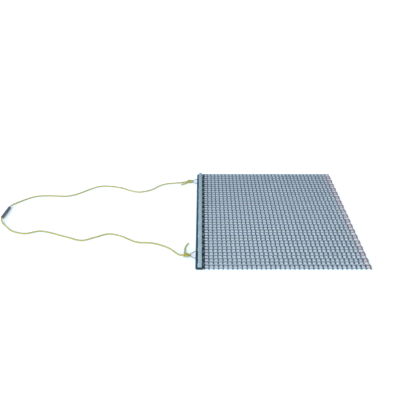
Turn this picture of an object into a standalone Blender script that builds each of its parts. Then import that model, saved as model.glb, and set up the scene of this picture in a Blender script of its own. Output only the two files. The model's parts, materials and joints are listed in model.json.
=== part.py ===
"""Flexible steel drag mat with a leader bar, two tow loops and a rope with a hand grip.

The mat lies flat. +X runs from the leader to the trailing edge, +Y lies along the leader, and +Z is up.
The origin is on the ground, under the middle of the mat, leader and tow loops.
Lengths called "from the leader" are measured from the front edge of the leader plate.
"""

import math

import bmesh
import bpy
from mathutils import Vector

# ---------------------------------------------------------------- driving dimensions, in metres
GAP = 0.0003  # between pieces that touch on the real mat

WIDTH = 0.922  # along the leader, and over the ends of the hinge rods
ROD_PITCH = 0.0254  # 1 inch, from one hinge rod to the next
ROWS = 35  # strips of mesh
LEGS = 39  # straight legs across each strip
STRIP_HEIGHT = 0.0095
STRIP_THICKNESS = 0.0016
CROWN_REACH = 0.005  # a strip's bends, past the rods' axes
LEG_SHIFT = 0.004  # how far a leg runs sideways, which lets neighbouring strips lie side by side
EDGE_MARGIN = 0.0073  # the rods' ends stand this far outside the outermost legs

PLATE_DEPTH = 0.040  # along X, without the hinge tabs
PLATE_THICKNESS = 0.005
ROD_FROM_LEADER = 0.0475  # the first hinge rod's axis
TAB_WIDTH = 0.020
TAB_REACH = 0.0045  # past the rod's axis

TUBE_FROM_LEADER = 0.014
TUBE_DEPTH = 0.021
TUBE_HEIGHT = 0.013
TUBE_WALL = 0.002

TOW_SPACING = 0.722  # between the middles of the two tow loops
LOOP_WIRE = 0.006
LOOP_SPREAD = 0.052  # between a loop's two legs
LOOP_BEND = -0.006  # where the legs turn inwards, from the leader
LOOP_TIP = -0.0395  # where the legs' lines meet, before their corner is rounded
LOOP_BEND_RADIUS = 0.014
LOOP_TIP_RADIUS = 0.009
LEG_HOLE = 0.0072
NUT_ACROSS_FLATS = 0.010
NUT_THICKNESS = 0.004
NUT_BORE = 0.0068
LEG_PAST_NUT = 0.0004

ROPE = 0.0095
ROPE_POINTS = 72
TAIL_POINTS = 7
KNOT_SIZE = (0.032, 0.028, 0.024)
KNOT_HEIGHT = 0.0125
GRIP_LENGTH = 0.101
GRIP_DIAMETER = 0.019
GRIP_BORE = 0.0112
GRIP_PLACE = (-1.646, 0.018)
GRIP_TURN = math.radians(-4)  # about Z, from lying along Y

# The middle line of the rope, from the right tow loop round the grip to the left tow loop.
ROPE_ROUTE = [
    (-0.5230, 0.3610, 0.0100),
    (-0.5400, 0.3605, 0.0063),
    (-0.5620, 0.3560, 0.0049),
    (-0.6700, 0.3380, 0.0049),
    (-0.7150, 0.3120, 0.0049),
    (-0.7600, 0.2700, 0.0049),
    (-0.8350, 0.2430, 0.0049),
    (-0.9000, 0.2590, 0.0049),
    (-0.9650, 0.2910, 0.0049),
    (-1.0700, 0.3130, 0.0049),
    (-1.1250, 0.3070, 0.0049),
    (-1.1700, 0.2810, 0.0049),
    (-1.2600, 0.2140, 0.0049),
    (-1.3150, 0.1960, 0.0049),
    (-1.4300, 0.2010, 0.0049),
    (-1.5100, 0.1940, 0.0049),
    (-1.5600, 0.1700, 0.0049),
    (-1.6050, 0.1340, 0.0049),
    (-1.6330, 0.1060, 0.0066),
    (-1.6410, 0.0850, 0.0091),
    (-1.6425, 0.0680, 0.0095),
    (-1.6460, 0.0180, 0.0095),
    (-1.6495, -0.0320, 0.0095),
    (-1.6480, -0.0490, 0.0091),
    (-1.6310, -0.0780, 0.0066),
    (-1.5900, -0.1180, 0.0049),
    (-1.5400, -0.1560, 0.0049),
    (-1.4550, -0.1760, 0.0049),
    (-1.3800, -0.1540, 0.0049),
    (-1.2200, -0.2020, 0.0049),
    (-1.1100, -0.2360, 0.0049),
    (-1.0500, -0.2130, 0.0049),
    (-0.9700, -0.1800, 0.0049),
    (-0.9000, -0.1950, 0.0049),
    (-0.7950, -0.2490, 0.0049),
    (-0.6900, -0.2610, 0.0049),
    (-0.6000, -0.3030, 0.0049),
    (-0.5640, -0.3370, 0.0049),
    (-0.5400, -0.3570, 0.0063),
    (-0.5230, -0.3610, 0.0100),
]

# The middle lines of the rope's loose ends, from each knot.
TAIL_ROUTES = {
    "left": [
        (-0.5100, -0.3425, 0.0060),
        (-0.5135, -0.3270, 0.0049),
        (-0.5138, -0.3100, 0.0049),
        (-0.5110, -0.2920, 0.0049),
        (-0.5060, -0.2770, 0.0049),
        (-0.4925, -0.2575, 0.0049),
    ],
    "right": [
        (-0.5160, 0.3440, 0.0056),
        (-0.5290, 0.3435, 0.0049),
        (-0.5430, 0.3385, 0.0049),
        (-0.5610, 0.3250, 0.0049),
    ],
}

# ---------------------------------------------------------------- worked out from them
ROD_HEIGHT = STRIP_HEIGHT / 2
TUBE_BOTTOM = PLATE_THICKNESS + GAP
LOOP_HEIGHT = TUBE_BOTTOM + TUBE_HEIGHT / 2
NUT_START = TUBE_FROM_LEADER + TUBE_DEPTH + GAP
LEG_END = NUT_START + NUT_THICKNESS + LEG_PAST_NUT


def filleted(corners, radii, step=math.radians(22)):
    """The corner points of a flat path, with each inner corner replaced by an arc of its radius."""
    points = [Vector(corners[0])]
    for before, corner, after, radius in zip(corners, corners[1:], corners[2:], radii):
        corner = Vector(corner)
        back = (Vector(before) - corner).normalized()
        ahead = (Vector(after) - corner).normalized()
        half = back.angle(ahead) / 2
        centre = corner + (back + ahead).normalized() * radius / math.sin(half)
        start = corner + back * radius / math.tan(half) - centre
        end = corner + ahead * radius / math.tan(half) - centre
        turn = math.pi - 2 * half
        count = max(2, math.ceil(turn / step))
        for i in range(count + 1):
            share = i / count
            along = start * math.sin((1 - share) * turn) + end * math.sin(share * turn)
            points.append(centre + along / math.sin(turn))
    points.append(Vector(corners[-1]))
    return points


LOOP_PATH = filleted(
    [
        (LEG_END, LOOP_SPREAD / 2, 0),
        (LOOP_BEND, LOOP_SPREAD / 2, 0),
        (LOOP_TIP, 0, 0),
        (LOOP_BEND, -LOOP_SPREAD / 2, 0),
        (LEG_END, -LOOP_SPREAD / 2, 0),
    ],
    [LOOP_BEND_RADIUS, LOOP_TIP_RADIUS, LOOP_BEND_RADIUS],
)
FRONT = min(p.x for p in LOOP_PATH) - LOOP_WIRE / 2
BACK = ROD_FROM_LEADER + ROWS * ROD_PITCH + CROWN_REACH
SHIFT = -(FRONT + BACK) / 2  # from the leader's front edge to the part's own X


def rod_x(number):
    """The X of a hinge rod's axis. Rod 0 is the leader's."""
    return SHIFT + ROD_FROM_LEADER + number * ROD_PITCH


def leg_y(number):
    """The Y of the middle of a strip's leg."""
    outer = WIDTH / 2 - EDGE_MARGIN
    return -outer + 2 * outer * number / (LEGS - 1)


# ---------------------------------------------------------------- helpers
def material(name, colour, roughness, metallic):
    made = bpy.data.materials.new(name)
    made.use_nodes = True
    shader = made.node_tree.nodes["Principled BSDF"]
    shader.inputs["Base Color"].default_value = (*colour, 1)
    shader.inputs["Roughness"].default_value = roughness
    shader.inputs["Metallic"].default_value = metallic
    return made


def add(name, data, finish, place=(0, 0, 0)):
    """A new object of this mesh or curve, with its origin at place."""
    made = bpy.data.objects.new(name, data)
    made.location = place
    bpy.context.scene.collection.objects.link(made)
    if not data.materials:
        data.materials.append(finish)
    return made


def mesh_from(name, points, faces):
    """A mesh of these faces, turned to face outwards."""
    made = bpy.data.meshes.new(name)
    made.from_pydata(points, [], faces)
    work = bmesh.new()
    work.from_mesh(made)
    bmesh.ops.recalc_face_normals(work, faces=work.faces)
    work.to_mesh(made)
    work.free()
    return made


def smooth(made, angle=40):
    made.data.shade_smooth()
    made.data.set_sharp_from_angle(angle=math.radians(angle))


def round_curve(name, points, radius, sides_level):
    """A tube with closed ends along straight runs between points. Level 2 gives 8 sides, and 3 gives 10."""
    made = bpy.data.curves.new(name, "CURVE")
    made.dimensions = "3D"
    made.bevel_depth = radius
    made.bevel_resolution = sides_level
    made.use_fill_caps = True
    spline = made.splines.new("POLY")
    spline.points.add(len(points) - 1)
    for point, place in zip(spline.points, points):
        point.co = (*place, 1)
    return made


def evenly_spaced(route, count):
    """Points at even distances along a smooth curve through the route."""
    route = [Vector(p) for p in route]
    ends = [2 * route[0] - route[1], *route, 2 * route[-1] - route[-2]]
    fine = []
    steps = 24
    for a, b, c, d in zip(ends, ends[1:], ends[2:], ends[3:]):
        ab, bc, cd = ((q - p).length ** 0.5 for p, q in ((a, b), (b, c), (c, d)))
        out = bc * ((b - a) / ab - (c - a) / (ab + bc) + (c - b) / bc)
        into = bc * ((c - b) / bc - (d - b) / (bc + cd) + (d - c) / cd)
        for i in range(steps):
            t = i / steps
            fine.append(
                (2 * t**3 - 3 * t**2 + 1) * b
                + (t**3 - 2 * t**2 + t) * out
                + (3 * t**2 - 2 * t**3) * c
                + (t**3 - t**2) * into
            )
    fine.append(route[-1])
    along = [0.0]
    for p, q in zip(fine, fine[1:]):
        along.append(along[-1] + (q - p).length)
    spaced, i = [], 0
    for n in range(count):
        want = along[-1] * n / (count - 1)
        while i < len(along) - 2 and along[i + 1] < want:
            i += 1
        share = (want - along[i]) / (along[i + 1] - along[i])
        spaced.append(fine[i].lerp(fine[i + 1], share))
    return spaced


# ---------------------------------------------------------------- sub-parts
def strip_line():
    """The middle line of a strip's square wave, seen from above, from its left rod's axis."""
    low = -CROWN_REACH + STRIP_THICKNESS / 2
    high = ROD_PITCH + CROWN_REACH - STRIP_THICKNESS / 2
    line = []
    for number in range(LEGS):
        start, end = (low, high) if number % 2 == 0 else (high, low)
        line.append(Vector((start, leg_y(number) - LEG_SHIFT / 2)))
        line.append(Vector((end, leg_y(number) + LEG_SHIFT / 2)))
    return line


def strip_mesh():
    """A flat strip on edge, bent in a square wave with mitred corners."""
    line = strip_line()
    points = []
    for i, here in enumerate(line):
        before = (here - line[i - 1]).normalized() if i else None
        after = (line[i + 1] - here).normalized() if i + 1 < len(line) else before
        before = before or after
        side = Vector((-(before + after).y, (before + after).x)).normalized()
        reach = STRIP_THICKNESS / 2 / side.dot(Vector((-after.y, after.x)))
        for sign in (1, -1):
            edge = here + sign * reach * side
            points.append((edge.x, edge.y, -STRIP_HEIGHT / 2))
            points.append((edge.x, edge.y, STRIP_HEIGHT / 2))
    faces = [(0, 1, 3, 2)]
    for i in range(len(line) - 1):
        a, b = 4 * i, 4 * i + 4
        faces += [
            (a, a + 1, b + 1, b),
            (a + 2, b + 2, b + 3, a + 3),
            (a, b, b + 2, a + 2),
            (a + 1, a + 3, b + 3, b + 1),
        ]
    last = 4 * (len(line) - 1)
    faces.append((last, last + 2, last + 3, last + 1))
    return mesh_from("mesh_strip", points, faces)


def mesh_strips(finish):
    """The rows of mesh, each hinged on the rod at its leader side."""
    shape = strip_mesh()
    for row in range(1, ROWS + 1):
        add(f"mesh_strip_{row:02d}", shape, finish, (rod_x(row - 1), 0, ROD_HEIGHT))


def leader_plate(finish):
    """The flat plate under the leader, with a row of hinge tabs along its mat side."""
    edge, end = PLATE_DEPTH, ROD_FROM_LEADER + TAB_REACH
    low, high, top = 0.0, PLATE_THICKNESS, STRIP_HEIGHT
    points = [(0, y, z) for y in (-WIDTH / 2, WIDTH / 2) for z in (low, high)]
    corners = len(points)
    points += [(edge, y, z) for y in (-WIDTH / 2, WIDTH / 2) for z in (low, high)]
    faces = [(0, 1, 3, 2), (0, 4, 5, 1), (2, 3, 7, 6)]
    rim_low, rim_high = [corners], [corners + 1]
    for number in range(0, LEGS - 1, 2):
        middle = (leg_y(number) + leg_y(number + 1)) / 2
        a = len(points)
        for y in (middle - TAB_WIDTH / 2, middle + TAB_WIDTH / 2):
            points += [(edge, y, low), (edge, y, high), (edge, y, top), (end, y, low), (end, y, top)]
        b = a + 5
        faces += [
            (rim_low[-1], a, a + 1, rim_high[-1]),
            (a, a + 3, a + 4, a + 2, a + 1),
            (b, b + 1, b + 2, b + 4, b + 3),
            (a + 1, a + 2, b + 2, b + 1),
            (a + 2, a + 4, b + 4, b + 2),
            (a + 3, b + 3, b + 4, a + 4),
            (a, b, b + 3, a + 3),
        ]
        rim_low += [a, b]
        rim_high += [a + 1, b + 1]
    faces.append((rim_low[-1], corners + 2, corners + 3, rim_high[-1]))
    rim_low.append(corners + 2)
    rim_high.append(corners + 3)
    faces.append((2, *reversed(rim_low), 0))
    faces.append((1, *rim_high, 3))
    add("leader_plate", mesh_from("leader_plate", points, faces), finish, (SHIFT, 0, 0))


def leader_tube(finish):
    """The rectangular tube on the plate, open at both ends, with holes for the tow loops' legs."""
    half = WIDTH / 2
    rings = []
    for inset in (0, TUBE_WALL):
        low_x, high_x = inset, TUBE_DEPTH - inset
        low_z, high_z = inset, TUBE_HEIGHT - inset
        rings.append([(low_x, low_z), (high_x, low_z), (high_x, high_z), (low_x, high_z)])
    points = [(x, y, z) for y in (-half, half) for ring in rings for x, z in ring]
    faces = []
    for i in range(4):
        j = (i + 1) % 4
        faces += [
            (i, j, j + 8, i + 8),
            (i + 4, i + 12, j + 12, j + 4),
            (i, i + 4, j + 4, j),
            (i + 8, j + 8, j + 12, i + 12),
        ]
    tube = add(
        "leader_tube",
        mesh_from("leader_tube", points, faces),
        finish,
        (SHIFT + TUBE_FROM_LEADER, 0, TUBE_BOTTOM),
    )
    work = bmesh.new()
    for y in leg_places():
        made = bmesh.ops.create_cone(
            work,
            cap_ends=True,
            segments=10,
            radius1=LEG_HOLE / 2,
            radius2=LEG_HOLE / 2,
            depth=2 * TUBE_DEPTH,
        )
        bmesh.ops.rotate(
            work,
            verts=made["verts"],
            cent=(0, 0, 0),
            matrix=Vector((0, 0, 1)).rotation_difference(Vector((1, 0, 0))).to_matrix(),
        )
        bmesh.ops.translate(
            work,
            verts=made["verts"],
            vec=(SHIFT + TUBE_FROM_LEADER + TUBE_DEPTH / 2, y, LOOP_HEIGHT),
        )
    drills = bpy.data.meshes.new("leg_drills")
    work.to_mesh(drills)
    work.free()
    cutter = add("leg_drills", drills, finish)
    cutter.hide_render = True
    cutter.display_type = "WIRE"
    cut = tube.modifiers.new("leg_holes", "BOOLEAN")
    cut.operation = "DIFFERENCE"
    cut.solver = "EXACT"
    cut.object = cutter


def sides():
    """The name and the Y of each tow loop. Left and right are those of a person who pulls the mat."""
    return (("left", -TOW_SPACING / 2), ("right", TOW_SPACING / 2))


def leg_places():
    """The Y of each leg of the tow loops."""
    return [y + sign * LOOP_SPREAD / 2 for _, y in sides() for sign in (-1, 1)]


def tow_loops(finish):
    """The bent wire loops, whose legs go through the tube, and a nut behind it on each leg."""
    shape = round_curve("tow_loop", LOOP_PATH, LOOP_WIRE / 2, 2)
    for side, y in sides():
        add(f"tow_loop_{side}", shape, finish, (SHIFT, y, LOOP_HEIGHT))


def hex_nut_mesh():
    """A hexagonal nut on the X axis, from X = 0, standing on a flat."""
    points, count = [], 12
    for x in (0, NUT_THICKNESS):
        for i in range(count):
            angle = 2 * math.pi * i / count
            if i % 2 == 0:
                reach = NUT_ACROSS_FLATS / 2 / math.cos(math.pi / 6)
            else:
                reach = NUT_ACROSS_FLATS / 2
            for radius in (reach, NUT_BORE / 2):
                points.append((x, radius * math.cos(angle), radius * math.sin(angle)))
    faces = []
    for i in range(count):
        a, b, far = 2 * i, 2 * ((i + 1) % count), 2 * count
        faces += [
            (a, b, b + far, a + far),
            (a + 1, a + 1 + far, b + 1 + far, b + 1),
            (a, a + 1, b + 1, b),
            (a + far, b + far, b + 1 + far, a + 1 + far),
        ]
    return mesh_from("loop_nut", points, faces)


def loop_nuts(finish):
    shape = hex_nut_mesh()
    for number, y in enumerate(leg_places(), 1):
        add(f"loop_nut_{number}", shape, finish, (SHIFT + NUT_START, y, LOOP_HEIGHT))


def knots(finish):
    """The closed outer shape of the knot that ties the rope to each tow loop."""
    work = bmesh.new()
    bmesh.ops.create_uvsphere(work, u_segments=12, v_segments=8, radius=0.5)
    bmesh.ops.rotate(
        work,
        verts=work.verts,
        cent=(0, 0, 0),
        matrix=Vector((0, 0, 1)).rotation_difference(Vector((1, 0, 0))).to_matrix(),
    )
    bmesh.ops.scale(work, verts=work.verts, vec=KNOT_SIZE)
    shape = bpy.data.meshes.new("rope_knot")
    work.to_mesh(shape)
    work.free()
    for side, y in sides():
        place = (SHIFT + FRONT - GAP - KNOT_SIZE[0] / 2, y, KNOT_HEIGHT)
        smooth(add(f"rope_knot_{side}", shape, finish, place))


def rope(finish):
    """The rope from knot to knot, and its loose end beyond each knot."""
    line = evenly_spaced(ROPE_ROUTE, ROPE_POINTS)
    add("tow_rope", round_curve("tow_rope", line, ROPE / 2, 2), finish)
    for side, route in TAIL_ROUTES.items():
        name = f"rope_tail_{side}"
        add(name, round_curve(name, evenly_spaced(route, TAIL_POINTS), ROPE / 2, 2), finish)


def rope_grip(finish):
    """The hand grip: a tube that the rope runs through, made along Y and then turned a little."""
    work = bmesh.new()
    count, rings = 16, []
    for radius, y in (
        (GRIP_DIAMETER / 2, -GRIP_LENGTH / 2),
        (GRIP_DIAMETER / 2, GRIP_LENGTH / 2),
        (GRIP_BORE / 2, GRIP_LENGTH / 2),
        (GRIP_BORE / 2, -GRIP_LENGTH / 2),
    ):
        turn = [2 * math.pi * i / count for i in range(count)]
        rings.append([work.verts.new((radius * math.cos(a), y, radius * math.sin(a))) for a in turn])
    for one, other in zip(rings, rings[1:] + rings[:1]):
        for i in range(count):
            j = (i + 1) % count
            work.faces.new((one[i], one[j], other[j], other[i]))
    bmesh.ops.recalc_face_normals(work, faces=work.faces)
    shape = bpy.data.meshes.new("rope_grip")
    work.to_mesh(shape)
    work.free()
    grip = add("rope_grip", shape, finish, (*GRIP_PLACE, GRIP_DIAMETER / 2))
    grip.rotation_euler.z = GRIP_TURN
    smooth(grip)


def main():
    for old in list(bpy.data.objects):
        bpy.data.objects.remove(old, do_unlink=True)
    galvanised = material("galvanised_strip", (0.36, 0.42, 0.47), 0.42, 0.85)
    bright = material("galvanised_tube", (0.42, 0.50, 0.55), 0.38, 0.8)
    dark = material("dark_plate", (0.030, 0.050, 0.058), 0.5, 0.6)
    wire = material("loop_wire", (0.40, 0.42, 0.43), 0.35, 0.9)
    yellow = material("yellow_rope", (0.62, 0.52, 0.06), 0.75, 0.0)
    rubber = material("grip_rubber", (0.05, 0.05, 0.055), 0.7, 0.0)
    leader_plate(dark)
    leader_tube(bright)
    mesh_strips(galvanised)
    tow_loops(wire)
    loop_nuts(wire)
    knots(yellow)
    rope(yellow)
    rope_grip(rubber)


main()
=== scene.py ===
"""The looks of a flexible steel drag mat: hinged flat-wire mesh behind a leader bar, towed by a rope.

Everything is in metres and in the CAD model's own frame: +X runs from the leader to the trailing edge,
+Y lies along the leader, +Z is up, and the ground is at Z = 0.
"""

import json
import math

import bmesh
import bpy
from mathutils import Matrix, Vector


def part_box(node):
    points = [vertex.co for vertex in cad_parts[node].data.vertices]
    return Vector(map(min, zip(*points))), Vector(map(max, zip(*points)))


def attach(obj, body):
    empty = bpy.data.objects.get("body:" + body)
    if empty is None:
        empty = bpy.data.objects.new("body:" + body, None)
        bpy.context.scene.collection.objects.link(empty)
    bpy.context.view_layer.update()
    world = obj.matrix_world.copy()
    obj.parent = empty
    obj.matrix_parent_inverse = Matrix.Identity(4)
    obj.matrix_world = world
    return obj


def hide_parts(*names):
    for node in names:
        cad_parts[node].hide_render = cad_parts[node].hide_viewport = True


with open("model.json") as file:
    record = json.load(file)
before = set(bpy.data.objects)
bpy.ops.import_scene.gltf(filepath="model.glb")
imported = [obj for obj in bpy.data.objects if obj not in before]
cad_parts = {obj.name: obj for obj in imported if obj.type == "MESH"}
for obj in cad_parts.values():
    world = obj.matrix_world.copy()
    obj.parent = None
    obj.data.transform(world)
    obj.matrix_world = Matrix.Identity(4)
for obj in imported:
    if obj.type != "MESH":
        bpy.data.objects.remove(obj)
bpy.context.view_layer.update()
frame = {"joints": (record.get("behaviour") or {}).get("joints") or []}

# ---------------------------------------------------------------- the frame's own places and sizes
PLATE_LOW, PLATE_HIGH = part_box("leader_plate")
TUBE_LOW, TUBE_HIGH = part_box("leader_tube")
STRIP_LOW, STRIP_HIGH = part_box("mesh_strip_01")
NUT_LOW, NUT_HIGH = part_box("loop_nut_1")
GRIP_LOW, GRIP_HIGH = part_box("rope_grip")
GRIP_AXIS = next(Vector(j["axis"]) for j in frame["joints"] if j["child"] == "grip")
HINGES = [Vector(j["pos_m"]) for j in frame["joints"] if j["child"].startswith("row_")]
ROWS = len(HINGES)
ROD_PITCH = HINGES[1].x - HINGES[0].x
ROD_HEIGHT = HINGES[0].z
FRONT_X = PLATE_LOW.x
HALF_WIDTH = PLATE_HIGH.y
STRIP_HEIGHT = STRIP_HIGH.z - STRIP_LOW.z

# ---------------------------------------------------------------- sizes of the finer shapes, in metres
LEGS = 39
STRIP_THICKNESS = 0.0016
STRIP_EDGE = 0.00022
LEG_SHIFT = 0.004
EDGE_MARGIN = 0.0073
STRIP_CORNER = 0.0019
CROWN_REACH = 0.005
ROD = 0.0048
ROD_HEAD = 0.0096
ROD_HEAD_DEPTH = 0.0028
PLATE_DEPTH = 0.040
PLATE_THICKNESS = 0.005
PLATE_EDGE = 0.0007
PLATE_CORNER = 0.008
KNUCKLE_WIDTH = 0.0195
KNUCKLE_WALL = 0.0017
KNUCKLE_EDGE = 0.0002
KNUCKLE_SWEEP = math.radians(285)
TUBE_CORNER = 0.0026
TUBE_WALL = 0.002
TUBE_EDGE = 0.0003
WELDS = 8  # on each side of the tube
WELD_LENGTH = 0.026
WELD_LEG = 0.0021
WELD_RIPPLE = 0.0016
LOOP_WIRE = 0.006
LOOP_SPREAD = 0.052
LOOP_BEND = -0.006
LOOP_TIP = -0.0395
LOOP_BEND_RADIUS = 0.014
LOOP_TIP_RADIUS = 0.009
LEG_HOLE = 0.0072
LEG_PAST_NUT = 0.0004
THREAD_PITCH = 0.0008
THREAD_DEPTH = 0.00028
ROPE = 0.0095
ROPE_LAY = 0.034
KNOT_ROPE = 0.0084  # the rope drawn tight
KNOT_TURNS = 3
GRIP_LENGTH = 0.101
GRIP_RIB = 0.0044
GRIP_RIBS = 20

# ---------------------------------------------------------------- the light
SKY_COLOUR = (0.745, 0.88, 1.0)
SKY_LOW = 3.20  # its strength near the horizon
SKY_HIGH = 0.90  # and overhead
SKY_TURN = (0.45, 0.75)  # the sines of the two heights between which it changes
SKY_LEAN = (-0.5, -0.4, 0.0)  # how much stronger it is towards the left and the front

# ---------------------------------------------------------------- the camera
CAMERA_PLACE = (-0.4135, -1.9444, 1.5726)
CAMERA_DOWN = 36.77  # degrees below level
CAMERA_LENS = 36  # in millimetres, and as wide as the sensor
CAMERA_SHIFT = -0.0065

# The middle line of the rope, from the right tow loop round the grip to the left tow loop.
ROPE_ROUTE = [
    (-0.5230, 0.3610, 0.0100),
    (-0.5400, 0.3605, 0.0063),
    (-0.5620, 0.3560, 0.0049),
    (-0.6700, 0.3380, 0.0049),
    (-0.7150, 0.3120, 0.0049),
    (-0.7600, 0.2700, 0.0049),
    (-0.8350, 0.2430, 0.0049),
    (-0.9000, 0.2590, 0.0049),
    (-0.9650, 0.2910, 0.0049),
    (-1.0700, 0.3130, 0.0049),
    (-1.1250, 0.3070, 0.0049),
    (-1.1700, 0.2810, 0.0049),
    (-1.2600, 0.2140, 0.0049),
    (-1.3150, 0.1960, 0.0049),
    (-1.4300, 0.2010, 0.0049),
    (-1.5100, 0.1940, 0.0049),
    (-1.5600, 0.1700, 0.0049),
    (-1.6050, 0.1340, 0.0049),
    (-1.6330, 0.1060, 0.0066),
    (-1.6410, 0.0850, 0.0091),
    (-1.6425, 0.0680, 0.0095),
    (-1.6460, 0.0180, 0.0095),
    (-1.6495, -0.0320, 0.0095),
    (-1.6480, -0.0490, 0.0091),
    (-1.6310, -0.0780, 0.0066),
    (-1.5900, -0.1180, 0.0049),
    (-1.5400, -0.1560, 0.0049),
    (-1.4550, -0.1760, 0.0049),
    (-1.3800, -0.1540, 0.0049),
    (-1.2200, -0.2020, 0.0049),
    (-1.1100, -0.2360, 0.0049),
    (-1.0500, -0.2130, 0.0049),
    (-0.9700, -0.1800, 0.0049),
    (-0.9000, -0.1950, 0.0049),
    (-0.7950, -0.2490, 0.0049),
    (-0.6900, -0.2610, 0.0049),
    (-0.6000, -0.3030, 0.0049),
    (-0.5640, -0.3370, 0.0049),
    (-0.5400, -0.3570, 0.0063),
    (-0.5230, -0.3610, 0.0100),
]

# The middle lines of the rope's loose ends, from each knot.
TAIL_ROUTES = {
    "left": [
        (-0.5100, -0.3425, 0.0060),
        (-0.5135, -0.3270, 0.0049),
        (-0.5138, -0.3100, 0.0049),
        (-0.5110, -0.2920, 0.0049),
        (-0.5060, -0.2770, 0.0049),
        (-0.4925, -0.2575, 0.0049),
    ],
    "right": [
        (-0.5160, 0.3440, 0.0056),
        (-0.5290, 0.3435, 0.0049),
        (-0.5430, 0.3385, 0.0049),
        (-0.5610, 0.3250, 0.0049),
    ],
}


# ---------------------------------------------------------------- lines
def filleted(corners, radii, steps):
    """A path with each inner corner replaced by an arc of its radius, in that many steps."""
    points = [Vector(corners[0])]
    for before, corner, after, radius in zip(corners, corners[1:], corners[2:], radii):
        corner = Vector(corner)
        back = (Vector(before) - corner).normalized()
        ahead = (Vector(after) - corner).normalized()
        half = back.angle(ahead) / 2
        centre = corner + (back + ahead).normalized() * radius / math.sin(half)
        start = corner + back * radius / math.tan(half) - centre
        end = corner + ahead * radius / math.tan(half) - centre
        turn = math.pi - 2 * half
        for i in range(steps + 1):
            share = i / steps
            along = start * math.sin((1 - share) * turn) + end * math.sin(share * turn)
            points.append(centre + along / math.sin(turn))
    points.append(Vector(corners[-1]))
    return points


def smooth_line(route, spacing):
    """Points about spacing apart along a smooth curve through the route.

    The curve is a centripetal Catmull-Rom spline, which makes no loops between close points.
    """
    route = [Vector(p) for p in route]
    ends = [2 * route[0] - route[1], *route, 2 * route[-1] - route[-2]]
    fine = []
    steps = 24
    for a, b, c, d in zip(ends, ends[1:], ends[2:], ends[3:]):
        ab, bc, cd = ((q - p).length ** 0.5 for p, q in ((a, b), (b, c), (c, d)))
        out = bc * ((b - a) / ab - (c - a) / (ab + bc) + (c - b) / bc)
        into = bc * ((c - b) / bc - (d - b) / (bc + cd) + (d - c) / cd)
        for i in range(steps):
            t = i / steps
            fine.append(
                (2 * t**3 - 3 * t**2 + 1) * b
                + (t**3 - 2 * t**2 + t) * out
                + (3 * t**2 - 2 * t**3) * c
                + (t**3 - t**2) * into
            )
    fine.append(route[-1])
    along = [0.0]
    for p, q in zip(fine, fine[1:]):
        along.append(along[-1] + (q - p).length)
    count = max(2, round(along[-1] / spacing) + 1)
    spaced, i = [], 0
    for n in range(count):
        want = along[-1] * n / (count - 1)
        while i < len(along) - 2 and along[i + 1] < want:
            i += 1
        share = (want - along[i]) / (along[i + 1] - along[i])
        spaced.append(fine[i].lerp(fine[i + 1], share))
    return spaced


# ---------------------------------------------------------------- meshes
def mesh_object(name, points, faces, sharp=35):
    """A new smooth-shaded object, its faces turned outwards. Edges over the angle stay sharp."""
    made = bpy.data.meshes.new(name)
    made.from_pydata([tuple(p) for p in points], [], faces)
    work = bmesh.new()
    work.from_mesh(made)
    bmesh.ops.recalc_face_normals(work, faces=work.faces)
    work.to_mesh(made)
    work.free()
    made.shade_smooth()
    made.set_sharp_from_angle(angle=math.radians(sharp))
    shown = bpy.data.objects.new(name, made)
    bpy.context.scene.collection.objects.link(shown)
    return shown


def ring_faces(rings, size, first=0, closed=False):
    """Quads between rings of size points, which start at point number first.

    Closed rings run back to the first one, and others get a cap at each end.
    """
    faces = []
    pairs = range(rings if closed else rings - 1)
    for r in pairs:
        a, b = first + r * size, first + (r + 1) % rings * size
        for i in range(size):
            j = (i + 1) % size
            faces.append((a + i, a + j, b + j, b + i))
    if not closed:
        last = first + (rings - 1) * size
        faces.append(tuple(reversed(range(first, first + size))))
        faces.append(tuple(range(last, last + size)))
    return faces


def sections_along(path, section, up=Vector((0, 0, 1))):
    """The points of a section swept along a path, turning as little as it can.

    section(i, distance) gives the offsets (to the side, up) of the section at point i.
    """
    points, side, distance = [], None, 0.0
    for i, here in enumerate(path):
        before, after = path[max(i - 1, 0)], path[min(i + 1, len(path) - 1)]
        tangent = (after - before).normalized()
        if side is None:
            side = tangent.cross(up).normalized()
        side = (side - tangent * side.dot(tangent)).normalized()
        top = side.cross(tangent)
        if i:
            distance += (here - path[i - 1]).length
        points += [here + a * side + b * top for a, b in section(i, distance)]
    return points


def circle(radius, count, start=0.0):
    turns = [start + 2 * math.pi * i / count for i in range(count)]
    return [(radius * math.cos(a), radius * math.sin(a)) for a in turns]


def turned(name, profile, count=24, sharp=35):
    """A solid turned round the Y axis from a profile of (radius, Y).

    The profile runs from the middle of one end to the middle of the other.
    """
    inner = profile[1:-1]
    points = [(0, profile[0][1], 0)]
    for radius, y in inner:
        points += [(a, y, b) for a, b in circle(radius, count)]
    points.append((0, profile[-1][1], 0))
    faces = [f for f in ring_faces(len(inner), count, first=1) if len(f) == 4]
    last = 1 + (len(inner) - 1) * count
    for i in range(count):
        j = (i + 1) % count
        faces.append((0, 1 + i, 1 + j))
        faces.append((last + j, last + i, len(points) - 1))
    return mesh_object(name, points, faces, sharp)


def eased_bar(half, tall, edge):
    """The outline of a flat bar of two half sizes, with its edges cut off by edge."""
    return [
        (half, edge - tall),
        (half, tall - edge),
        (half - edge, tall),
        (edge - half, tall),
        (-half, tall - edge),
        (-half, edge - tall),
        (edge - half, -tall),
        (half - edge, -tall),
    ]


def copy_of(name, shape):
    """The object of that name, made from the shape's mesh if there is none yet."""
    shown = bpy.data.objects.get(name)
    if shown is None:
        shown = bpy.data.objects.new(name, shape)
        bpy.context.scene.collection.objects.link(shown)
    return shown


def joined(name, parts):
    """One object from several (points, faces) lists, each kept as its own shell."""
    points, faces = [], []
    for some, sides in parts:
        start = len(points)
        points += some
        faces += [tuple(i + start for i in f) for f in sides]
    return mesh_object(name, points, faces)


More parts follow.
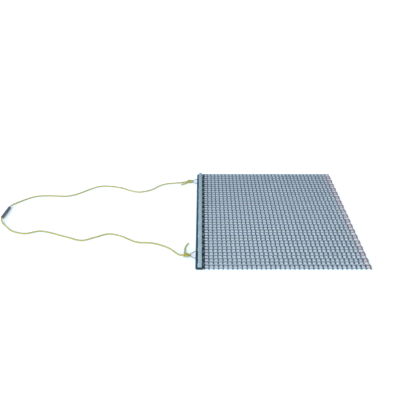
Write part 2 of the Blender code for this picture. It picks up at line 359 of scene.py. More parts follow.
def finish_with(shown, finish, body):
    """Gives a piece its material and the body it moves with."""
    shown.data.materials.clear()
    shown.data.materials.append(finish)
    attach(shown, body)
    return shown


# ---------------------------------------------------------------- materials
class Tree:
    """A new material's node tree around one Principled shader, with short calls for adding nodes."""

    def __init__(self, name, roughness, metallic):
        self.material = bpy.data.materials.new(name)
        self.material.use_nodes = True
        self.nodes = self.material.node_tree.nodes
        self.links = self.material.node_tree.links
        self.shader = self.nodes["Principled BSDF"]
        self.shader.inputs["Roughness"].default_value = roughness
        self.shader.inputs["Metallic"].default_value = metallic
        self.place = self.nodes.new("ShaderNodeTexCoord").outputs["Object"]

    def put(self, socket, value):
        if hasattr(value, "links"):
            self.links.new(value, socket)
        elif hasattr(value, "__len__") and len(value) == 3 and len(socket.default_value) == 4:
            socket.default_value = (*value, 1)
        else:
            socket.default_value = value

    def own(self, name):
        """The number that an object carries under that name."""
        return self.node("ShaderNodeAttribute", 2, {"attribute_type": "OBJECT", "attribute_name": name})

    def vector(self, operation, a, b):
        made = self.nodes.new("ShaderNodeVectorMath")
        made.operation = operation
        self.put(made.inputs[0], a)
        self.put(made.inputs[1], b)
        return made.outputs[0]

    def node(self, kind, out=0, settings=None, **inputs):
        made = self.nodes.new(kind)
        for key, value in (settings or {}).items():
            setattr(made, key, value)
        for key, value in inputs.items():
            self.put(made.inputs[key.replace("_", " ")], value)
        return made.outputs[out]

    def maths(self, operation, a, b=0.0):
        made = self.nodes.new("ShaderNodeMath")
        made.operation = operation
        self.put(made.inputs[0], a)
        self.put(made.inputs[1], b)
        return made.outputs[0]

    def stretched(self, scale):
        """The object's coordinates, scaled by its three numbers."""
        made = self.nodes.new("ShaderNodeMapping")
        self.put(made.inputs["Vector"], self.place)
        made.inputs["Scale"].default_value = scale
        return made.outputs[0]

    def noise(self, scale, detail=3.0, roughness=0.55, vector=None, distortion=0.0):
        return self.node(
            "ShaderNodeTexNoise",
            Vector=vector or self.place,
            Scale=scale,
            Detail=detail,
            Roughness=roughness,
            Distortion=distortion,
        )

    def between(self, value, low, high, to_low=0.0, to_high=1.0):
        """value, with low to high spread over to_low to to_high and held there outside them."""
        made = self.nodes.new("ShaderNodeMapRange")
        numbers = (value, low, high, to_low, to_high)
        for socket, number in zip(made.inputs, numbers):
            self.put(socket, number)
        return made.outputs[0]

    def mix(self, share, a, b):
        made = self.nodes.new("ShaderNodeMix")
        made.data_type = "RGBA"
        self.put(made.inputs["Factor"], share)
        self.put(made.inputs[6], a)
        self.put(made.inputs[7], b)
        return made.outputs[2]

    def axes(self):
        """The object's X, Y and Z coordinates."""
        made = self.nodes.new("ShaderNodeSeparateXYZ")
        self.put(made.inputs[0], self.place)
        return made.outputs

    def done(self, colour=None, roughness=None, height=None, depth=0.0002):
        """Links what is given to the shader, height as a bump of that depth.

        It returns the material.
        """
        if colour is not None:
            self.put(self.shader.inputs["Base Color"], colour)
        if roughness is not None:
            self.put(self.shader.inputs["Roughness"], roughness)
        if height is not None:
            bump = self.nodes.new("ShaderNodeBump")
            bump.inputs["Strength"].default_value = 1.0
            bump.inputs["Distance"].default_value = depth
            self.put(bump.inputs["Height"], height)
            self.links.new(bump.outputs[0], self.shader.inputs["Normal"])
        return self.material


def strip_material():
    """Galvanised flat wire: bluish grey and cloudy, with painted shade at its bends, round its rods and
    towards the far side, paint and painted shadow on the first row, and rusty in the last row.
    """
    dark_zinc, pale_zinc, shaded_far_zinc = (0.262, 0.305, 0.350), (0.410, 0.460, 0.510), (0.185, 0.220, 0.260)
    crystal, rubbed, shaded = (0.50, 0.54, 0.56), (0.52, 0.56, 0.58), (0.055, 0.070, 0.090)
    thin_paint_and_shade, thick_paint_and_shadow = (0.110, 0.120, 0.160), (0.012, 0.026, 0.040)
    rod_gap_shade, rust_red = (0.020, 0.022, 0.024), (0.480, 0.215, 0.190)
    tree = Tree("flat_wire_steel", 0.45, 0.45)
    x, y, z = tree.axes()

    # The same mesh serves every row, so the row's number moves its patterns.
    row = tree.own("row")
    offset = {"X": tree.maths("MULTIPLY", row, 0.37), "Y": tree.maths("MULTIPLY", row, 0.61)}
    place = tree.vector("ADD", tree.place, tree.node("ShaderNodeCombineXYZ", **offset))
    clouds = tree.noise(38.0, 4.0, 0.6, place)
    grain = tree.noise(900.0, 2.0, 0.5, place)
    spangle = tree.node("ShaderNodeTexVoronoi", 1, Vector=place, Scale=260.0)
    crystals = tree.node("ShaderNodeRGBToBW", Color=spangle)
    base = tree.mix(tree.between(clouds, 0.35, 0.68), dark_zinc, pale_zinc)
    base = tree.mix(tree.between(crystals, 0.2, 0.9, 0.0, 0.28), base, crystal)

    # Painted shade darkens it towards the far side, and it is rubbed along the upper and lower edge.
    base = tree.mix(tree.between(y, 0.0, HALF_WIDTH, 0.0, 0.40), base, shaded_far_zinc)
    top = STRIP_HEIGHT / 2
    edge = tree.between(tree.maths("ABSOLUTE", z), top - 0.0012, top, 0.0, 0.55)
    worn = tree.maths("MULTIPLY", edge, tree.between(grain, 0.4, 0.6))
    base = tree.mix(worn, base, rubbed)

    # Painted shade on the crowns, which are the short stretches past the two rods; less so in the last
    # row.
    to_next = tree.maths("ABSOLUTE", tree.maths("SUBTRACT", x, ROD_PITCH))
    near = tree.maths("MINIMUM", tree.maths("ABSOLUTE", x), to_next)
    inner_face = CROWN_REACH - STRIP_THICKNESS
    crown_shade = tree.between(near, inner_face - 0.001, inner_face, 0.0, 0.8)
    after_rods = tree.between(x, ROD_PITCH, ROD_PITCH + 0.001)
    before_rods = tree.between(x, -0.001, 0.0, 1.0, 0.0)
    trailing = tree.between(row, ROWS - 1.3, ROWS, 0.0, 1.0)
    trailing = tree.maths("MULTIPLY", trailing, tree.between(x, 0.0, ROD_PITCH, 0.3, 1.0))
    crown_shade = tree.maths("MULTIPLY", crown_shade, tree.maths("MAXIMUM", after_rods, before_rods))
    unrusted = tree.maths("SUBTRACT", 1.0, tree.maths("MULTIPLY", trailing, 0.7))
    base = tree.mix(tree.maths("MULTIPLY", crown_shade, unrusted), base, shaded)

    # The leader's paint reaches the first row, thick where it is nearest; the same darkening is also
    # painted shadow of the leader tube over the first row.
    overspray_and_shadow = tree.between(row, 1.0, 2.0, 1.0, 0.0)
    base = tree.mix(tree.maths("MULTIPLY", overspray_and_shadow, 0.45), base, thin_paint_and_shade)
    by_leader = tree.between(x, 0.0045, 0.0065, 0.9, 0.0)
    base = tree.mix(tree.maths("MULTIPLY", overspray_and_shadow, by_leader), base, thick_paint_and_shadow)

    # A ring of painted shade round each rod, standing in for the gap between the rod and the strip's
    # hole.
    squares = (tree.maths("MULTIPLY", near, near), tree.maths("MULTIPLY", z, z))
    reach = tree.maths("SQRT", tree.maths("ADD", *squares))
    ring = tree.between(reach, ROD / 2 + 0.0002, ROD / 2 + 0.0011, 0.75, 0.0)
    base = tree.mix(ring, base, rod_gap_shade)

    # Rust: specks anywhere, and a blush over the last row.
    specks = tree.between(tree.noise(95.0, 5.0, 0.65, place), 0.60, 0.72, 0.0, 0.35)
    blush = tree.between(tree.noise(55.0, 4.0, 0.6, place), 0.38, 0.62, 0.3, 0.85)
    rust = tree.maths("MAXIMUM", specks, tree.maths("MULTIPLY", trailing, blush))
    base = tree.mix(rust, base, rust_red)

    dull = tree.between(clouds, 0.3, 0.7, 0.34, 0.52)
    rough = tree.maths("ADD", dull, tree.maths("MULTIPLY", rust, 0.35))
    height = tree.maths("ADD", tree.maths("MULTIPLY", grain, 0.35), tree.maths("MULTIPLY", clouds, 0.5))
    return tree.done(base, rough, height, 0.00012)


def rod_material():
    """Dark streaked rod, with rust in patches and over the last rod, and darker tips."""
    dark, less_dark = (0.020, 0.028, 0.036), (0.060, 0.075, 0.090)
    rust, tip = (0.300, 0.175, 0.160), (0.030, 0.030, 0.036)
    tree = Tree("hinge_rod_steel", 0.4, 0.6)
    streaks = tree.noise(60.0, 3.0, 0.6, tree.stretched((8.0, 0.6, 8.0)))
    grain = tree.noise(700.0, 2.0)
    base = tree.mix(tree.between(streaks, 0.35, 0.65), dark, less_dark)
    rusty = tree.between(tree.noise(120.0, 4.0, 0.6), 0.60, 0.72, 0.0, 0.5)
    _, y, _ = tree.axes()
    row = tree.own("row")
    trailing = tree.between(row, ROWS - 0.5, ROWS, 0.0, 0.6)
    base = tree.mix(tree.maths("MAXIMUM", rusty, trailing), base, rust)
    tips = tree.between(tree.maths("ABSOLUTE", y), HALF_WIDTH - 0.006, HALF_WIDTH - 0.002, 0.0, 0.8)
    base = tree.mix(tips, base, tip)
    return tree.done(base, tree.between(streaks, 0.3, 0.7, 0.34, 0.55), grain, 0.00008)


def tube_material():
    """Galvanised tube: pale and spangled with a few scuffs, with painted shade in its bore and towards
    its far end, and dark on its cut ends.
    """
    dark_zinc, pale_zinc, shaded_far_zinc = (0.240, 0.305, 0.320), (0.330, 0.405, 0.420), (0.140, 0.205, 0.225)
    crystal, scuffed, shaded = (0.36, 0.43, 0.45), (0.110, 0.125, 0.130), (0.045, 0.052, 0.058)
    tree = Tree("leader_tube_zinc", 0.45, 0.35)
    drawn_out = tree.stretched((1.0, 0.7, 1.0))
    crystals = tree.node("ShaderNodeTexVoronoi", 1, Vector=drawn_out, Scale=95.0)
    grey = tree.node("ShaderNodeRGBToBW", Color=crystals)
    clouds = tree.noise(14.0, 4.0, 0.6)
    base = tree.mix(tree.between(clouds, 0.3, 0.7), dark_zinc, pale_zinc)
    base = tree.mix(tree.between(grey, 0.2, 0.85, 0.0, 0.22), base, crystal)
    drawn = tree.noise(300.0, 2.0, 0.5, tree.stretched((1.0, 0.02, 1.0)))
    marks = tree.noise(70.0, 5.0, 0.7, tree.stretched((1.0, 0.35, 1.0)), 0.8)
    scuffs = tree.between(marks, 0.64, 0.70)
    base = tree.mix(tree.maths("MULTIPLY", scuffs, 0.55), base, scuffed)
    x, y, z = tree.axes()
    # Painted shade, darker towards the far end.
    base = tree.mix(tree.between(y, -HALF_WIDTH, HALF_WIDTH, 0.0, 0.75), base, shaded_far_zinc)
    # Painted shade in the bore; the cut ends take the same dark as bare steel.
    middle = (TUBE_LOW + TUBE_HIGH) / 2
    from_side = tree.maths("ABSOLUTE", tree.maths("SUBTRACT", x, middle.x))
    from_top = tree.maths("ABSOLUTE", tree.maths("SUBTRACT", z, middle.z))
    wall = TUBE_WALL - 0.0003
    between_sides = tree.maths("LESS_THAN", from_side, TUBE_HIGH.x - middle.x - wall)
    between_faces = tree.maths("LESS_THAN", from_top, TUBE_HIGH.z - middle.z - wall)
    bore = tree.maths("MULTIPLY", between_sides, between_faces)
    cut = tree.maths("GREATER_THAN", tree.maths("ABSOLUTE", y), HALF_WIDTH - 0.0004)
    base = tree.mix(tree.maths("MAXIMUM", bore, cut), base, shaded)
    dull = tree.between(grey, 0.2, 0.8, 0.36, 0.50)
    rough = tree.maths("ADD", dull, tree.maths("MULTIPLY", scuffs, 0.15))
    height = tree.maths("ADD", tree.maths("MULTIPLY", drawn, 0.6), tree.maths("MULTIPLY", grey, 0.25))
    return tree.done(base, rough, height, 0.00010)


def plate_material():
    """Dark blue painted steel, orange-peeled, worn to grey and dusty in patches."""
    dark_paint, paint = (0.008, 0.020, 0.032), (0.018, 0.038, 0.056)
    bare, dusty = (0.085, 0.105, 0.115), (0.16, 0.15, 0.13)
    tree = Tree("leader_plate_dark", 0.5, 0.25)
    clouds = tree.noise(22.0, 5.0, 0.6)
    grain = tree.noise(420.0, 3.0)
    base = tree.mix(tree.between(clouds, 0.3, 0.7), dark_paint, paint)
    worn = tree.between(tree.noise(85.0, 6.0, 0.7), 0.63, 0.69)
    base = tree.mix(tree.maths("MULTIPLY", worn, 0.6), base, bare)
    dust = tree.between(tree.noise(9.0, 3.0), 0.5, 0.8, 0.0, 0.10)
    base = tree.mix(dust, base, dusty)
    rough = tree.between(clouds, 0.3, 0.7, 0.42, 0.60)
    return tree.done(base, rough, tree.maths("ADD", grain, tree.maths("MULTIPLY", worn, -0.5)), 0.00012)


def wire_material():
    """Cloudy zinc-plated wire with tarnish, painted over where it passes the leader."""
    dark_zinc, pale_zinc = (0.235, 0.240, 0.245), (0.45, 0.45, 0.44)
    brown, paint = (0.14, 0.105, 0.08), (0.012, 0.024, 0.032)
    tree = Tree("tow_loop_zinc", 0.35, 0.7)
    clouds = tree.noise(60.0, 4.0, 0.6)
    grain = tree.noise(800.0, 2.0)
    base = tree.mix(tree.between(clouds, 0.35, 0.7), dark_zinc, pale_zinc)
    tarnish = tree.between(tree.noise(150.0, 5.0, 0.65), 0.60, 0.70, 0.0, 0.5)
    base = tree.mix(tarnish, base, brown)
    x, _, _ = tree.axes()
    painted = tree.maths("SUBTRACT", x, tree.maths("MULTIPLY", clouds, 0.003))
    base = tree.mix(tree.between(painted, -0.0025, -0.0012, 0.0, 0.94), base, paint)
    return tree.done(base, tree.between(clouds, 0.3, 0.7, 0.26, 0.45), grain, 0.00006)


def rope_material():
    """Yellow polypropylene rope: fine fibres, painted shade in the valleys between the strands and on
    the knots, a little dirt.
    """
    deep_yellow, yellow = (0.240, 0.182, 0.010), (0.470, 0.368, 0.032)
    dirt, strand_valley_shade = (0.26, 0.185, 0.060), (0.110, 0.075, 0.006)
    knot_shade_yellow = (0.300, 0.235, 0.002)
    tree = Tree("yellow_rope", 0.5, 0.0)
    tree.shader.inputs["Sheen Weight"].default_value = 0.25
    run = tree.node("ShaderNodeUVMap", 0, {"uv_map": "run"})
    split = tree.nodes.new("ShaderNodeSeparateXYZ")
    tree.put(split.inputs[0], run)
    along, around = split.outputs[0], split.outputs[1]
    strand = tree.maths("FRACT", tree.maths("MULTIPLY", around, 3.0))
    from_crest = tree.maths("ABSOLUTE", tree.maths("SUBTRACT", strand, 0.5))
    valley = tree.between(from_crest, 0.30, 0.50, 0.0, 0.8)
    finer = {"X": tree.maths("MULTIPLY", along, 2.2), "Y": tree.maths("MULTIPLY", around, 85.0)}
    lines = tree.node("ShaderNodeCombineXYZ", **finer)
    fibres = tree.noise(1.0, 2.0, 0.6, lines)
    patches = tree.noise(16.0, 4.0, 0.6)
    base = tree.mix(tree.between(fibres, 0.3, 0.7), deep_yellow, yellow)
    base = tree.mix(tree.between(patches, 0.45, 0.75, 0.0, 0.30), base, dirt)
    # Painted shade in the valleys between the strands.
    base = tree.mix(valley, base, strand_valley_shade)
    # Painted shade makes the knotted pieces darker.
    base = tree.mix(tree.maths("MULTIPLY", tree.own("tied"), 0.5), base, knot_shade_yellow)
    return tree.done(base, tree.between(fibres, 0.3, 0.7, 0.40, 0.62), fibres, 0.00018)


def grip_material():
    """Charcoal moulded rubber, fine-grained, greyed where hands and ground rub it."""
    charcoal, grey, scuffed = (0.048, 0.042, 0.044), (0.110, 0.098, 0.098), (0.16, 0.15, 0.15)
    tree = Tree("grip_rubber", 0.65, 0.0)
    clouds = tree.noise(45.0, 4.0, 0.6)
    grain = tree.noise(1100.0, 2.0)
    base = tree.mix(tree.between(clouds, 0.35, 0.7), charcoal, grey)
    scuffs = tree.between(tree.noise(160.0, 5.0, 0.7), 0.62, 0.70, 0.0, 0.5)
    base = tree.mix(scuffs, base, scuffed)
    return tree.done(base, tree.between(clouds, 0.3, 0.7, 0.55, 0.75), grain, 0.00010)


def floor_material():
    """Nearly white, and so faintly clouded that it reads as plain."""
    tree = Tree("pale_floor", 0.8, 0.0)
    clouds = tree.noise(2.0, 3.0)
    return tree.done(tree.mix(clouds, (0.86, 0.86, 0.86), (0.885, 0.885, 0.885)))


# ---------------------------------------------------------------- the mesh
def leg_y(number):
    """The Y of the middle of a strip's leg."""
    outer = HALF_WIDTH - EDGE_MARGIN
    return -outer + 2 * outer * number / (LEGS - 1)


def strip_shape():
    """A strip's square wave with rounded bends and eased edges, from its left rod's axis."""
    low = STRIP_LOW.x - HINGES[0].x + STRIP_THICKNESS / 2
    high = STRIP_HIGH.x - HINGES[0].x - STRIP_THICKNESS / 2
    corners = []
    for number in range(LEGS):
        start, end = (low, high) if number % 2 == 0 else (high, low)
        corners.append((start, leg_y(number) - LEG_SHIFT / 2, 0))
        corners.append((end, leg_y(number) + LEG_SHIFT / 2, 0))
    path = filleted(corners, [STRIP_CORNER] * (len(corners) - 2), 4)
    outline = eased_bar(STRIP_THICKNESS / 2, STRIP_HEIGHT / 2, STRIP_EDGE)
    points = sections_along(path, lambda i, s: outline)
    return points, ring_faces(len(path), len(outline))


def mesh_rows():
    """The hinged strips, all of one shape."""
    finish = strip_material()
    shape = mesh_object("flat_wire_row_01", *strip_shape()).data
    for number, hinge in enumerate(HINGES, 1):
        shown = copy_of(f"flat_wire_row_{number:02d}", shape)
        shown.location = hinge
        shown["row"] = float(number)
        finish_with(shown, finish, f"row_{number:02d}")
        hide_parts(f"mesh_strip_{number:02d}")


def hinge_rods():
    """A headed rod through each pair of neighbouring strips, and one through the leader's knuckles."""
    finish = rod_material()
    radius, head, end = ROD / 2, ROD_HEAD / 2, HALF_WIDTH
    profile = [
        (0, -end),
        (head * 0.40, -end + 0.00012),
        (head * 0.68, -end + 0.00055),
        (head * 0.80, -end + 0.00130),
        (head * 0.97, -end + 0.00150),
        (head, -end + 0.00175),
        (head, -end + ROD_HEAD_DEPTH - 0.0002),
        (head * 0.97, -end + ROD_HEAD_DEPTH),
        (radius, -end + ROD_HEAD_DEPTH + 0.0001),
    ]
    profile += [(r, -y) for r, y in reversed(profile)]
    shape = turned("hinge_rod_00", profile, 16, 50).data
    for number in range(ROWS + 1):
        shown = copy_of(f"hinge_rod_{number:02d}", shape)
        shown.location = (HINGES[0].x + number * ROD_PITCH, 0, ROD_HEIGHT)
        shown["row"] = float(number)
        finish_with(shown, finish, f"row_{number:02d}" if number else "root")


# ---------------------------------------------------------------- the leader
def rounded_outline(low, high, radii, inset, steps=6):
    """A rectangle from low to high, set in by inset, with a radius for each corner, as (a, b) points."""
    (a0, b0), (a1, b1) = low, high
    corners = [(a0, b0), (a1, b0), (a1, b1), (a0, b1)]
    points = []
    for number, ((a, b), radius) in enumerate(zip(corners, radii)):
        inward = (1 if a == a0 else -1, 1 if b == b0 else -1)
        centre = (a + inward[0] * radius, b + inward[1] * radius)
        start = math.pi + number * math.pi / 2
        for i in range(steps + 1):
            angle = start + i / steps * math.pi / 2
            reach = radius - inset
            points.append((centre[0] + reach * math.cos(angle), centre[1] + reach * math.sin(angle)))
    return points


def knuckle(middle):
    """A strap from the plate's lower edge, rolled round the first rod."""
    axis = Vector((HINGES[0].x, middle, ROD_HEIGHT))
    radius = ROD / 2 + 0.00015 + KNUCKLE_WALL / 2
    path = [
        Vector((FRONT_X + PLATE_DEPTH - 0.004, middle, axis.z - radius)),
        Vector((FRONT_X + PLATE_DEPTH, middle, axis.z - radius)),
    ]
    steps = 18
    for i in range(steps + 1):
        angle = -math.pi / 2 + KNUCKLE_SWEEP * i / steps
        path.append(axis + radius * Vector((math.cos(angle), 0, math.sin(angle))))
    outline = eased_bar(KNUCKLE_WIDTH / 2, KNUCKLE_WALL / 2, KNUCKLE_EDGE)
    points = sections_along(path, lambda i, s: outline)
    return points, ring_faces(len(path), len(outline))


def leader_plate(finish):
    """The plate with rounded corners and eased edges, and its row of rolled knuckles."""
    low, high = (FRONT_X, -HALF_WIDTH), (FRONT_X + PLATE_DEPTH, HALF_WIDTH)
    radii = (PLATE_CORNER, 0.0015, 0.0015, PLATE_CORNER)
    levels = (
        (PLATE_EDGE, 0.0),
        (PLATE_EDGE * 0.3, PLATE_EDGE * 0.3),
        (0.0, PLATE_EDGE),
        (0.0, PLATE_THICKNESS - PLATE_EDGE),
        (PLATE_EDGE * 0.3, PLATE_THICKNESS - PLATE_EDGE * 0.3),
        (PLATE_EDGE, PLATE_THICKNESS),
    )
    points = []
    for inset, z in levels:
        outline = rounded_outline(low, high, radii, inset)
        points += [Vector((a, b, z)) for a, b in outline]
    parts = [(points, ring_faces(len(levels), len(outline)))]
    for number in range(0, LEGS - 1, 2):
        parts.append(knuckle((leg_y(number) + leg_y(number + 1)) / 2))
    shown = finish_with(joined("leader_plate_finished", parts), finish, "root")
    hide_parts("leader_plate")


def loop_legs():
    """The Y of each leg of the tow loops."""
    boxes = [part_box(f"loop_nut_{number}") for number in range(1, 5)]
    return [(low.y + high.y) / 2 for low, high in boxes]


def leader_tube(finish):
    """The rectangular tube with round corners, open ends and holes for the tow loops' legs."""
    low, high = (TUBE_LOW.x, TUBE_LOW.z), (TUBE_HIGH.x, TUBE_HIGH.z)
    outer, eased, inner = (
        rounded_outline(low, high, [TUBE_CORNER] * 4, inset) for inset in (0.0, TUBE_EDGE, TUBE_WALL)
    )
    end = HALF_WIDTH
    rings = (
        (outer, -end + TUBE_EDGE),
        (outer, end - TUBE_EDGE),
        (eased, end),
        (inner, end),
        (inner, -end),
        (eased, -end),
    )
    points = [Vector((a, y, b)) for ring, y in rings for a, b in ring]
    shown = mesh_object("leader_tube_finished", points, ring_faces(len(rings), len(outer), closed=True))
    height = (NUT_LOW.z + NUT_HIGH.z) / 2
    drills = []
    depth = TUBE_HIGH.x - TUBE_LOW.x
    for y in loop_legs():
        around = [(y + a, height + b) for a, b in circle(LEG_HOLE / 2, 24)]
        ends = (TUBE_LOW.x - depth, TUBE_HIGH.x + depth)
        drills.append(([Vector((x, a, b)) for x in ends for a, b in around], ring_faces(2, 24)))
    cutter = joined("leg_drills", drills)
    cut = shown.modifiers.new("leg_holes", "BOOLEAN")
    cut.operation = "DIFFERENCE"
    cut.solver = "EXACT"
    cut.object = cutter
    evaluated = shown.evaluated_get(bpy.context.evaluated_depsgraph_get())
    shown.data = bpy.data.meshes.new_from_object(evaluated)
    shown.modifiers.clear()
    bpy.data.objects.remove(cutter)
    shown.data.set_sharp_from_angle(angle=math.radians(28))
    finish_with(shown, finish, "root")
    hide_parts("leader_tube")


def leader_welds(finish):
    """Short rippled welds that hold the tube to the plate, staggered on its two sides."""
    parts, steps = [], 32
    for side, x, along in ((-1, TUBE_LOW.x, 0.27), (1, TUBE_HIGH.x, 0.50)):
        for number in range(WELDS):
            middle = -HALF_WIDTH + 2 * HALF_WIDTH * (number + along) / WELDS
            path = []
            for i in range(steps + 1):
                path.append(Vector((x, middle + WELD_LENGTH * (i / steps - 0.5), PLATE_THICKNESS)))

            def section(i, distance, side=side):
                taper = math.sin(math.pi * (0.04 + 0.92 * i / steps)) ** 0.35
                size = WELD_LEG * taper * (1 + 0.09 * math.cos(2 * math.pi * distance / WELD_RIPPLE))
                turns = [math.radians(a) for a in (-20, 8, 36, 64, 92, 110)]
                arc = [(side * size * math.cos(a), size * math.sin(a)) for a in turns]
                return [(-side * 0.0012, -0.0012), *arc]

            points = sections_along(path, section)
            parts.append((points, ring_faces(len(path), 7)))
    finish_with(joined("leader_welds", parts), finish, "root")


# ---------------------------------------------------------------- the tow loops
def tow_loops(finish):
    """The bent wire loops with threaded legs."""
    leg_end = NUT_HIGH.x - FRONT_X + LEG_PAST_NUT
    corners = [
        (leg_end, LOOP_SPREAD / 2, 0),
        (LOOP_BEND, LOOP_SPREAD / 2, 0),
        (LOOP_TIP, 0, 0),
        (LOOP_BEND, -LOOP_SPREAD / 2, 0),
        (leg_end, -LOOP_SPREAD / 2, 0),
    ]
    bends = filleted(corners, [LOOP_BEND_RADIUS, LOOP_TIP_RADIUS, LOOP_BEND_RADIUS], 14)
    thread_start, step = leg_end - 0.012, THREAD_PITCH / 4
    threaded = [Vector((leg_end - step * i, LOOP_SPREAD / 2, 0)) for i in range(61)]
    path = threaded + bends[1:-1] + [Vector((p.x, -p.y, 0)) for p in reversed(threaded)]

    def section(i, distance):
        radius = LOOP_WIRE / 2
        if path[i].x > thread_start:
            radius -= THREAD_DEPTH * (i % 4 in (1, 2))
            if path[i].x > leg_end - 0.0005:
                radius -= 0.0005
        return circle(radius, 16)

    points = sections_along(path, section)
    height = (NUT_LOW.z + NUT_HIGH.z) / 2
    legs = loop_legs()
    for side, pair in (("left", legs[:2]), ("right", legs[2:])):
        shown = mesh_object(f"tow_loop_{side}_wire", points, ring_faces(len(path), 16), 60)
        shown.location = (FRONT_X, sum(pair) / 2, height)
        finish_with(shown, finish, "root")
        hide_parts(f"tow_loop_{side}")


def loop_nuts(finish):
    """Hexagonal nuts, chamfered on both faces, with a countersunk threaded bore."""
    flats = NUT_HIGH.z - NUT_LOW.z
    thick = NUT_HIGH.x - NUT_LOW.x
    count, bore = 48, LOOP_WIRE / 2 + 0.0001
    levels = [(0.0, 0.47), (0.00025, 0.50), (0.0006, 0.54), (0.0010, 0.60)]
    levels += [(thick - x, limit) for x, limit in reversed(levels)]
    rings = []
    for x, limit in levels:
        ring = []
        for i in range(count):
            angle = 2 * math.pi * i / count
            off = (angle + math.pi / 6) % (math.pi / 3) - math.pi / 6
            reach = min(flats / 2 / math.cos(off), flats * limit)
            ring.append(Vector((x, reach * math.sin(angle), reach * math.cos(angle))))
        rings += ring
    wide = bore + 0.0004
    hole = [(thick, wide), (thick - 0.0005, bore), (0.0005, bore), (0.0, wide)]
    for x, radius in hole:
        rings += [Vector((x, b, a)) for a, b in circle(radius, count)]
    faces = ring_faces(len(levels) + len(hole), count, closed=True)
    for number, y in enumerate(loop_legs(), 1):
        shown = mesh_object(f"loop_nut_{number}_finished", rings, faces, 20)
        shown.location = (NUT_LOW.x, y, (NUT_LOW.z + NUT_HIGH.z) / 2)
        finish_with(shown, finish, "root")
        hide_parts(f"loop_nut_{number}")


# ---------------------------------------------------------------- the rope
def strand_outline(diameter, count=24):
    """The outline of three twisted strands, as (reach from their middle, angle)."""
    strand = diameter / 2 / (1 + 2 / math.sqrt(3))
    offset = diameter / 2 - strand
    valley = 0.66 * diameter / 2
    outline = []
    for i in range(count):
        away = 2 * math.pi * i / count
        near = (away + math.pi / 3) % (2 * math.pi / 3) - math.pi / 3
        inside = max(strand**2 - (offset * math.sin(near)) ** 2, 0.0)
        outline.append((max(offset * math.cos(near) + math.sqrt(inside), valley), away))
    return outline


def rope_piece(name, path, finish, sizes=None):
    """Three-strand rope along a path, with a UV map that runs along it and round it.

    sizes scales it at each point of the path.
    """
    outline = strand_outline(ROPE)
    count = len(outline)
    sizes = sizes or [1.0] * len(path)

    def section(i, distance):
        turn = 2 * math.pi * distance / ROPE_LAY
        size = sizes[i]
        return [(size * r * math.cos(a + turn), size * r * math.sin(a + turn)) for r, a in outline]

    points = sections_along(path, section)
    shown = mesh_object(name, points, ring_faces(len(path), count), 80)
    distances = [0.0]
    for p, q in zip(path, path[1:]):
        distances.append(distances[-1] + (q - p).length)
    layer = shown.data.uv_layers.new(name="run")
    for face in shown.data.polygons:
        corners = [shown.data.loops[i].vertex_index for i in face.loop_indices]
        wraps = {0, count - 1} <= {corner % count for corner in corners}
        for i, corner in zip(face.loop_indices, corners):
            ring, around = divmod(corner, count)
            if wraps and around == 0:
                around = count
            layer.data[i].uv = (distances[ring] / ROPE_LAY, around / count + 1 / 6)
    shown.data.materials.append(finish)
    return shown


def rope_sizes(path, knot_low, knot_high):
    """The rope's size along a knot's path: tight in the knot's box, melted thin at the tail's end."""
    tight = KNOT_ROPE / ROPE
    raw = []
    for p in path:
        inside = p.x > knot_low.x and knot_low.y - 0.002 < p.y < knot_high.y + 0.002
        raw.append(tight if inside else 1.0)
    reach = 6
    sizes = []
    for i in range(len(raw)):
        some = raw[max(0, i - reach) : i + reach + 1]
        sizes.append(sum(some) / len(some))
    for back, size in ((1, 0.62), (2, 0.92), (3, 1.05), (4, 1.05)):
        sizes[-back] = size
    return sizes


def knot_line(side, knot):
    """The line of a wrapped hitch: from the rope round the loop's tip, and in turns to the tail."""
    low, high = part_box(f"rope_knot_{knot}")
    middle = (low + high) / 2
    tip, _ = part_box(f"tow_loop_{knot}")
    wire = Vector((tip.x + LOOP_WIRE / 2, middle.y, (NUT_LOW.z + NUT_HIGH.z) / 2))
    round_wire = LOOP_WIRE / 2 + KNOT_ROPE / 2
    route = [Vector(ROPE_ROUTE[0 if side > 0 else -1])]
    route += [Vector((low.x + 0.006, middle.y, middle.z)), middle + Vector((0.004, 0, 0.0008))]
    for degrees in (118, 90, 45, 0, -45, -90, -118):
        a = math.radians(degrees)
        lift = Vector((0, side * 0.0014 * degrees / 118, 0))
        route.append(wire + lift + round_wire * Vector((math.cos(a), 0, math.sin(a))))
    wrap = KNOT_ROPE - 0.0002  # from the rope's middle line to the wraps'
    first, last = middle.x + 0.0118, middle.x - 0.0126
    steps = 12 * KNOT_TURNS
    for i in range(steps + 1):
        share = i / steps
        a = -math.pi / 2 - side * 2 * math.pi * KNOT_TURNS * share
        along = Vector((first + (last - first) * share, middle.y, middle.z))
        route.append(along + wrap * Vector((0, math.cos(a), math.sin(a))))
    route += [Vector(p) for p in TAIL_ROUTES[knot][1:]]
    return smooth_line(route, 0.0012)


def rope_and_grip():
    """The rope, its two knots with their tails, and the grip that it runs through."""
    yellow = rope_material()
    line = smooth_line(ROPE_ROUTE, 0.002)
    for p in line:
        p.z = max(p.z, ROPE / 2)
    rope = rope_piece("tow_rope_laid", line, yellow)
    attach(rope, "root")
    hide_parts("tow_rope")
    for side, knot in ((1, "right"), (-1, "left")):
        path = knot_line(side, knot)
        sizes = rope_sizes(path, *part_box(f"rope_knot_{knot}"))
        for p, size in zip(path, sizes):
            p.z = max(p.z, size * ROPE / 2)
        tied = rope_piece(f"rope_hitch_{knot}", path, yellow, sizes)
        # This mark gives the knotted piece its painted shade.
        tied["tied"] = 1.0
        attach(tied, "root")
        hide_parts(f"rope_knot_{knot}", f"rope_tail_{knot}")
    grip = rope_grip()


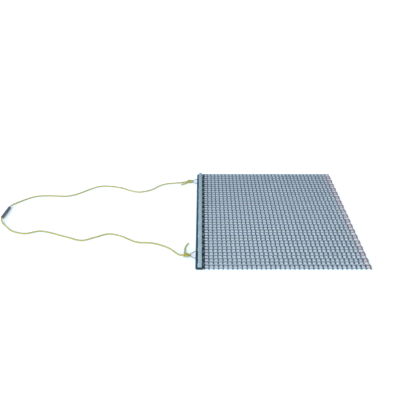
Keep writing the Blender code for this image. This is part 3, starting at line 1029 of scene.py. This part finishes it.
def rope_grip():
    """The moulded hand grip: a ribbed sleeve with a collar at each end."""
    half, outer, bore = GRIP_LENGTH / 2, (GRIP_HIGH.z - GRIP_LOW.z) / 2, ROPE / 2 + 0.0006
    end = [
        (bore, 0.0008),
        (bore + 0.0007, 0.0),
        (outer - 0.0014, 0.0),
        (outer - 0.0004, 0.0005),
        (outer, 0.0015),
        (outer, 0.0038),
        (outer - 0.0003, 0.0046),
        (outer - 0.0012, 0.0052),
    ]
    profile = [(r, y - half) for r, y in end]
    for i in range(GRIP_RIBS * 6 + 1):
        y = GRIP_RIB * (i / 6 - GRIP_RIBS / 2)
        swell = 0.0003 * math.cos(math.pi * y / half)
        profile.append((outer - 0.0011 + swell + 0.0005 * abs(math.sin(math.pi * i / 6)) ** 0.6, y))
    profile += [(r, half - y) for r, y in reversed(end)]
    count = 40
    points = []
    for radius, y in profile:
        points += [Vector((a, y, b)) for a, b in circle(radius, count)]
    shown = mesh_object("rope_grip_moulded", points, ring_faces(len(profile), count, closed=True), 45)
    shown.rotation_mode = "QUATERNION"
    shown.rotation_quaternion = Vector((0, 1, 0)).rotation_difference(GRIP_AXIS)
    shown.location = (GRIP_LOW + GRIP_HIGH) / 2
    finish_with(shown, grip_material(), "grip")
    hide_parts("rope_grip")
    return shown


# ---------------------------------------------------------------- the stage
def pale_floor():
    """The plain floor under everything."""
    reach = 30.0
    corners = [(-reach, -reach, 0), (reach, -reach, 0), (reach, reach, 0), (-reach, reach, 0)]
    floor = mesh_object("floor", corners, [(0, 1, 2, 3)])
    floor.data.materials.append(floor_material())


def soft_sky():
    """The only light: a sky, weaker overhead than near the horizon, and strongest at the left front."""
    world = bpy.data.worlds.new("studio")
    bpy.context.scene.world = world
    world.use_nodes = True
    nodes, links = world.node_tree.nodes, world.node_tree.links
    sky = nodes["Background"]
    sky.inputs["Color"].default_value = (*SKY_COLOUR, 1)
    towards = nodes.new("ShaderNodeTexCoord").outputs["Generated"]
    split = nodes.new("ShaderNodeSeparateXYZ")
    links.new(towards, split.inputs[0])
    rise = nodes.new("ShaderNodeMapRange")
    rise.interpolation_type = "SMOOTHSTEP"
    for socket, number in zip(rise.inputs, (0.0, *SKY_TURN, SKY_LOW, SKY_HIGH)):
        socket.default_value = number
    links.new(split.outputs[2], rise.inputs[0])
    lean = nodes.new("ShaderNodeVectorMath")
    lean.operation = "DOT_PRODUCT"
    lean.inputs[1].default_value = SKY_LEAN
    links.new(towards, lean.inputs[0])
    side = nodes.new("ShaderNodeMath")
    side.operation = "ADD"
    side.inputs[1].default_value = 1.0
    links.new(lean.outputs["Value"], side.inputs[0])
    strength = nodes.new("ShaderNodeMath")
    strength.operation = "MULTIPLY"
    links.new(rise.outputs[0], strength.inputs[0])
    links.new(side.outputs[0], strength.inputs[1])
    links.new(strength.outputs[0], sky.inputs["Strength"])


def photo_camera():
    """The camera at the photograph's place and angle."""
    camera = bpy.data.cameras.new("camera")
    camera.lens = camera.sensor_width = CAMERA_LENS
    camera.shift_x = CAMERA_SHIFT
    camera.clip_end = 100
    made = bpy.data.objects.new("camera", camera)
    made.location = CAMERA_PLACE
    made.rotation_euler = (math.radians(90 - CAMERA_DOWN), 0, 0)
    bpy.context.scene.collection.objects.link(made)
    bpy.context.scene.camera = made
    bpy.context.scene.view_settings.view_transform = "Standard"


pale_floor()
soft_sky()
photo_camera()
mesh_rows()
hinge_rods()
dark, pale, zinc = plate_material(), tube_material(), wire_material()
leader_plate(dark)
leader_tube(pale)
leader_welds(pale)
tow_loops(zinc)
loop_nuts(zinc)
rope_and_grip()
